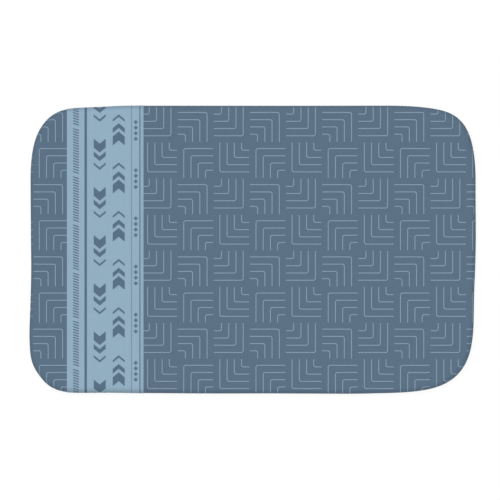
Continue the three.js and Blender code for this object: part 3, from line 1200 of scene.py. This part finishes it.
laid, strip_faces = strip_values()
from_edge = np.minimum(laid[:, 0] - STRIP_FROM, STRIP_TO - laid[:, 0])
folded = np.clip((STRIP_FOLD_END - from_edge) / (STRIP_FOLD_END - STRIP_FOLD), 0, 1)
rounded = np.clip(from_edge / STRIP_EDGE_ROUND, 0, 1)
rounded = np.sqrt(1 - (1 - rounded) ** 2)
thickness = (STRIP + STRIP_FOLD_LIFT * folded) * (
    STRIP_EDGE_SHARE + (1 - STRIP_EDGE_SHARE) * rounded
)
strip_above = AIR + thickness
strip_skin = Skin()
over = strip_skin.add(above_cloth(laid, strip_above))
beneath = strip_skin.add(above_cloth(laid, np.full(len(laid), AIR)))
laid_flat = strip_flats(laid)
strip_skin.patch(over, laid_flat, strip_faces)
strip_skin.patch(beneath, laid_flat, strip_faces[:, ::-1], 1)
start, stop = borders(strip_faces).T
below = len(over)
walls = triangles((stop, start, start + below), (stop, start + below, stop + below))
strip_skin.patch(np.concatenate([over, beneath]), np.tile(laid_flat, (2, 1)), walls)
strip = strip_skin.build(
    "heat_proof_strip",
    [heat_proof_strip()],
    bands=(SHOWN_BAND, 1 - SHOWN_BAND),
    columns=STRIP_COLUMNS,
)


# Pads: each fills the cloth's inner face between two heights. Its edges above and below are
# drawn in a little, and its underside rises and falls in three waves.

PAD_EDGE_STEPS = 5
PAD_EDGE_SOFT = 0.6 * MM
PAD_EDGE_POWER = 6
PAD_WAVES = (17 * MM, 21 * MM, 35 * MM)


def pad_skin(name, top, underside, finish, waviness):
    """A pad: rings down its edge, which follows the roll, closed above and below by grids. Its
    underside, the face that shows, has most of its second map."""
    skin = Skin()
    radius = TOP_ROLL - CLOTH - PAD_AIR
    rings = []
    for share in np.linspace(0, 1, PAD_EDGE_STEPS + 1):
        z = underside + (top - underside) * (1 - share)
        rise = np.clip(z - top_centre[1], 0, radius)
        drawn = TOP_ROLL - np.sqrt(radius**2 - rise**2)
        drawn += PAD_EDGE_SOFT * abs(2 * share - 1) ** PAD_EDGE_POWER
        points = (edge_points - edge_outward * drawn)[::QUARTER]
        rings.append(skin.ring(np.column_stack([points, np.full(len(points), z)])))
    for upper, lower in zip(rings[:-1], rings[1:]):
        skin.join(upper, lower, 1)
    top_grid(skin, rings[0], lambda x, y: top - top_sag(x, y), 1)
    starts = rng.uniform(0, 2 * np.pi, len(PAD_WAVES))

    def lower_face(x, y):
        by_x, by_y, slanted = (
            np.sin(run / length + start)
            for run, length, start in zip((x, y, x + y), PAD_WAVES, starts)
        )
        return underside + waviness * (by_x * by_y + slanted)

    top_grid(skin, rings[-1], lower_face)
    skin.turn_over(len(skin.faces) - 1)
    return skin.build(name, [finish], bands=(SHOWN_BAND, 1 - SHOWN_BAND))


foam_low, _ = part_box("foam_pad")
felt_low, felt_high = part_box("felt_pad")
foam = pad_skin("foam_layer", SURFACE - CLOTH - PAD_AIR, foam_low[2], open_foam(), 0)
felt = pad_skin("felt_layer", felt_high[2], felt_low[2], needle_felt(), 0.12 * MM)


# Hem tape and elastic: sections carried round the hem, level with the middle of the tunnel. The
# tape's leaves hold the cloth between them and swell into the tunnel inwards of its cut edge.

TUNNEL_MIDDLE = 1.55 * MM
LEAF_HALF_GAP = 0.66 * MM
TUNNEL_HALF_GAP = 1.1 * MM
SWELL_FROM = -1 * MM
SWELL_REACH = 4 * MM
FOLD_AT = 5 * MM
FOLD_REACH = 3.4 * MM
LEAF_STEPS = 6
FOLD_STEPS = 8
TAPE_COLUMNS = 7


def tape_section():
    """Inner face of the tape folded double, as (inward, height), and the direction out of it:
    one leaf in from its edge, round the fold as half an ellipse, and back along the other."""
    inward = np.linspace(-TAPE_LAP, FOLD_AT, LEAF_STEPS + 1)
    swell = smooth((inward - SWELL_FROM) / SWELL_REACH)
    gap = LEAF_HALF_GAP + (TUNNEL_HALF_GAP - LEAF_HALF_GAP) * swell
    turn = np.linspace(-np.pi / 2, np.pi / 2, FOLD_STEPS + 1)[1:-1]
    fold = np.stack([FOLD_AT + FOLD_REACH * np.cos(turn), TUNNEL_HALF_GAP * np.sin(turn)], 1)
    lower = np.stack([inward, -gap], 1)
    upper = np.stack([inward[::-1], gap[::-1]], 1)
    inner = np.concatenate([lower, fold, upper])
    step = np.gradient(inner, axis=0)
    return inner, unit(np.stack([step[:, 1], -step[:, 0]], 1))


def sweep(skin, loop):
    """Carries a closed section round the hem: at each station it stands square to the hem and
    rises with the gather there. The flat place is the run along the hem and round the section."""
    around = run_along(closed(loop))
    rings = []
    for (inward, height), run in zip(loop, around):
        plan = hem_points - hem_outward * inward
        points = np.column_stack([plan, TUNNEL_MIDDLE + height + gather])
        flats = np.stack([hem_run, np.full(COUNT, run)], 1)
        rings.append(skin.ring(points, flats, np.array([[hem_length, run]])))
    flats = np.stack([np.append(hem_run, hem_length), np.full(COUNT + 1, around[-1])], 1)
    rings.append((rings[0][0], flats))
    for upper, lower in zip(rings[:-1], rings[1:]):
        skin.join(upper, lower)


def round_hem(values, run):
    """Values given at the hem's stations, at other runs along the hem."""
    known = np.append(hem_run, hem_length)
    columns = closed(values).reshape(COUNT + 1, -1).T
    return np.stack([np.interp(run, known, column) for column in columns], -1)


tape_inner, tape_normal = tape_section()
tape_skin = Skin()
sweep(tape_skin, np.concatenate([tape_inner + tape_normal * TAPE, tape_inner[::-1]]))

# Where the tape's two ends meet, one laps over the other: a second, short tape round the first.
# Its sections lie at shares of its length, closer together at its ends, which grow thin.
JOIN_SHARES = np.array([0, 0.02, 0.06, 0.15, 0.3, 0.45, 0.6, 0.75, 0.88, 0.95, 0.98, 1])
JOIN_ROUND = 0.8 * MM
JOIN_EDGE_SHARE = 0.3
join_run = join_middle + (JOIN_SHARES - 0.5) * JOIN_LAP


def tape_join(skin):
    """The lapping end: the tape's section moved out by its own thickness, carried along a short
    run of the hem, thin at both ends and closed there."""
    from_end = np.minimum(join_run - join_run[0], join_run[-1] - join_run)
    thick = JOIN_EDGE_SHARE + (1 - JOIN_EDGE_SHARE) * smooth(from_end / JOIN_ROUND)
    thick = TAPE * thick
    low = tape_inner + tape_normal * (TAPE + AIR)
    high = low + tape_normal * thick[:, None, None]
    low = np.repeat(low[None], len(join_run), 0)
    sections = np.concatenate([high, low[:, ::-1]], 1)
    plan = round_hem(hem_points, join_run)[:, None]
    plan = plan - round_hem(hem_outward, join_run)[:, None] * sections[..., :1]
    height = TUNNEL_MIDDLE + sections[..., 1] + round_hem(gather, join_run)
    points = np.concatenate([plan, height[..., None]], -1)
    numbers = skin.add(points.reshape(-1, 3)).reshape(points.shape[:2])
    numbers = np.concatenate([numbers, numbers[:, :1]], 1)
    around = run_along(closed(sections[len(join_run) // 2]))
    flats = np.stack(np.broadcast_arrays(join_run[:, None], around[None]), -1)
    skin.grid(numbers, flats)
    half = len(tape_inner)
    for end, order in ((0, -1), (-1, 1)):
        pair, places = (
            np.stack([rows[end, :half], rows[end, half:-1][::-1]])[::order]
            for rows in (numbers, flats)
        )
        skin.grid(pair, places)


tape_join(tape_skin)
tape = tape_skin.build("folded_tape", [bias_tape()], bands=(1,), columns=TAPE_COLUMNS)

ELASTIC_FROM = 1.5 * MM
ELASTIC_WIDTH = 5.6 * MM
ELASTIC_THICK = 1.1 * MM
ELASTIC_STEPS = 12
ELASTIC_ROUNDNESS = 0.4


def squarish(wave):
    """A sine or cosine with flattened hills, of which two make a rectangle with round corners."""
    return np.sign(wave) * np.abs(wave) ** ELASTIC_ROUNDNESS


turn = np.linspace(0, 2 * np.pi, ELASTIC_STEPS + 1)[:-1]
elastic_middle = ELASTIC_FROM + ELASTIC_WIDTH / 2
elastic_loop = np.stack([
    elastic_middle + ELASTIC_WIDTH / 2 * squarish(np.cos(turn)),
    ELASTIC_THICK / 2 * squarish(np.sin(turn)),
], 1)
elastic_skin = Skin()
sweep(elastic_skin, elastic_loop)
elastic = elastic_skin.build("braided_elastic", [braided_elastic()])


# Sewing threads

STITCH_PITCH = 3.2 * MM
STITCH_SHARE = 0.84
THREAD_RADIUS = 0.2 * MM
STITCH_SIDES = 5
STITCH_RINGS = 4

# How closely the rings crowd to a stitch's ends, how far its middle line falls towards them and
# how deep its tips lie, the last two in radii of the thread
STITCH_CROWDING = 0.7
STITCH_DIP = 1.6
STITCH_TIP = 0.8


def lay_stitches(skin, path, up):
    """Stitches along a path: each is a spindle that dips into the cloth at both ends, its height
    a parabola over its length. up is the direction out of the cloth at each path point."""
    run = run_along(path)
    count = max(int(run[-1] / STITCH_PITCH), 1)
    middle = (np.arange(count) + 0.5) * run[-1] / count

    def at(values, where):
        """Values of the path's points at other runs along it."""
        return np.stack([np.interp(where, run, values[:, axis]) for axis in range(3)], -1)

    half = STITCH_SHARE * run[-1] / count / 2
    centre = at(path, middle)
    along = unit(at(path, middle + half) - at(path, middle - half))
    out = at(up, middle)
    out = unit(out - np.sum(out * along, 1)[:, None] * along)
    side = np.cross(along, out)
    share = np.linspace(-1, 1, STITCH_RINGS + 2)[1:-1]
    share = np.sign(share) * np.abs(share) ** STITCH_CROWDING
    turn = np.arange(STITCH_SIDES) / STITCH_SIDES * 2 * np.pi
    radius = THREAD_RADIUS * np.sqrt(1 - share**2)[:, None]
    rise = THREAD_RADIUS * (1 - STITCH_DIP * share**2)[:, None]
    offsets = [
        half * share[:, None] + 0 * turn,
        rise + radius * np.sin(turn),
        radius * np.cos(turn),
    ]
    deep = -STITCH_TIP * THREAD_RADIUS
    tips = np.array([[-half, deep, 0], [half, deep, 0]])
    local = np.concatenate([np.stack(offsets, -1).reshape(-1, 3), tips])
    axes = np.stack([along, out, side], 1)
    points = centre[:, None] + np.einsum("pk,ckd->cpd", local, axes)
    numbers = skin.add(points.reshape(-1, 3)).reshape(count, -1)
    flats = np.empty((count, len(local), 2))
    flats[..., 0] = middle[:, None] + local[None, :, 0]
    flats[..., 1] = local[None, :, 2]
    ring = np.arange(STITCH_SIDES)
    following = (ring + 1) % STITCH_SIDES
    faces = []
    for place in range(STITCH_RINGS - 1):
        a, b = place * STITCH_SIDES, (place + 1) * STITCH_SIDES
        faces += [(a + ring, b + ring, b + following), (a + ring, b + following, a + following)]
    first, last = len(local) - 2, len(local) - 1
    end = (STITCH_RINGS - 1) * STITCH_SIDES
    faces += [(np.full(STITCH_SIDES, first), ring, following)]
    faces += [(end + ring, np.full(STITCH_SIDES, last), end + following)]
    shifts = np.arange(count)[:, None, None] * len(local)
    all_faces = (triangles(*faces)[None] + shifts).reshape(-1, 3)
    skin.patch(numbers.ravel(), flats.reshape(-1, 2), all_faces)


strip_stitches = Skin()
for x in (STRIP_FROM + STRIP_STITCH_IN, STRIP_TO - STRIP_STITCH_IN):
    line = np.isclose(laid[:, 0], x, rtol=0, atol=LEAST_CUT / 2)
    line = np.flatnonzero(line)[np.argsort(laid_flat[line, 1])]
    path = above_cloth(laid[line], strip_above[line])
    lay_stitches(strip_stitches, path, unit(laid[line, 3:6] - laid[line, :3]))
strip_thread = strip_stitches.build(
    "strip_stitches", [sewing_thread("pale_thread", ink(120, 148, 170), ink(168, 192, 208))]
)

# A row of stitches on each leaf of the tape, outwards of the cloth's cut edge, which rises over
# the lap, and two short rows across the lap, in from its ends
HEM_STITCH_OUT = 3.4 * MM
JOIN_STITCH_IN = 1.6 * MM
hem_stitches = Skin()
stitch_run = np.sort(np.concatenate([hem_run, join_run, join_run[[0, -1]] + [-MM, MM]]))
on_join = np.interp(stitch_run, join_run[[0, 1, -2, -1]], [0, 1, 1, 0])
stitch_outward = round_hem(hem_outward, stitch_run)
for sense in (-1, 1):
    plan = round_hem(hem_points, stitch_run) + stitch_outward * HEM_STITCH_OUT
    level = LEAF_HALF_GAP + TAPE + on_join * (TAPE + AIR)
    height = TUNNEL_MIDDLE + sense * level + round_hem(gather, stitch_run)[:, 0]
    path = np.column_stack([plan, height])
    slope = round_hem(gather, stitch_run + MM / 2) - round_hem(gather, stitch_run - MM / 2)
    along = np.column_stack([-stitch_outward[:, 1], stitch_outward[:, 0], slope[:, 0] / MM])
    up = unit(np.cross(np.column_stack([stitch_outward, 0 * stitch_run]), along) * sense)
    lay_stitches(hem_stitches, closed(path), closed(up))

leaf = tape_inner[: LEAF_STEPS + 1]
for run in join_run[[0, -1]] + np.array([JOIN_STITCH_IN, -JOIN_STITCH_IN]):
    plan = round_hem(hem_points, run) - round_hem(hem_outward, run) * leaf[:, :1]
    height = TUNNEL_MIDDLE + leaf[:, 1] - 2 * TAPE - AIR + round_hem(gather, run)
    path = np.column_stack([plan, height])
    lay_stitches(hem_stitches, path, np.tile([0.0, 0.0, -1.0], (len(path), 1)))
hem_thread = hem_stitches.build(
    "hem_stitches", [sewing_thread("slate_thread", ink(96, 116, 134), ink(140, 158, 173))]
)


# What each piece rides on, stands for and is made of

pieces = (
    (cloth, "cover_cloth", "printed_cotton"),
    (strip, "iron_rest_band", "heat_proof_strip"),
    (foam, "foam_pad", "foam"),
    (felt, "felt_pad", "felt"),
    (tape, "hem_tape", "binding_tape"),
    (elastic, "hem_elastic", "elastic"),
    (strip_thread, None, "heat_proof_strip"),
    (hem_thread, None, "binding_tape"),
)
for piece, node, slot in pieces:
    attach(piece, "root")
    if node is not None:
        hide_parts(node)
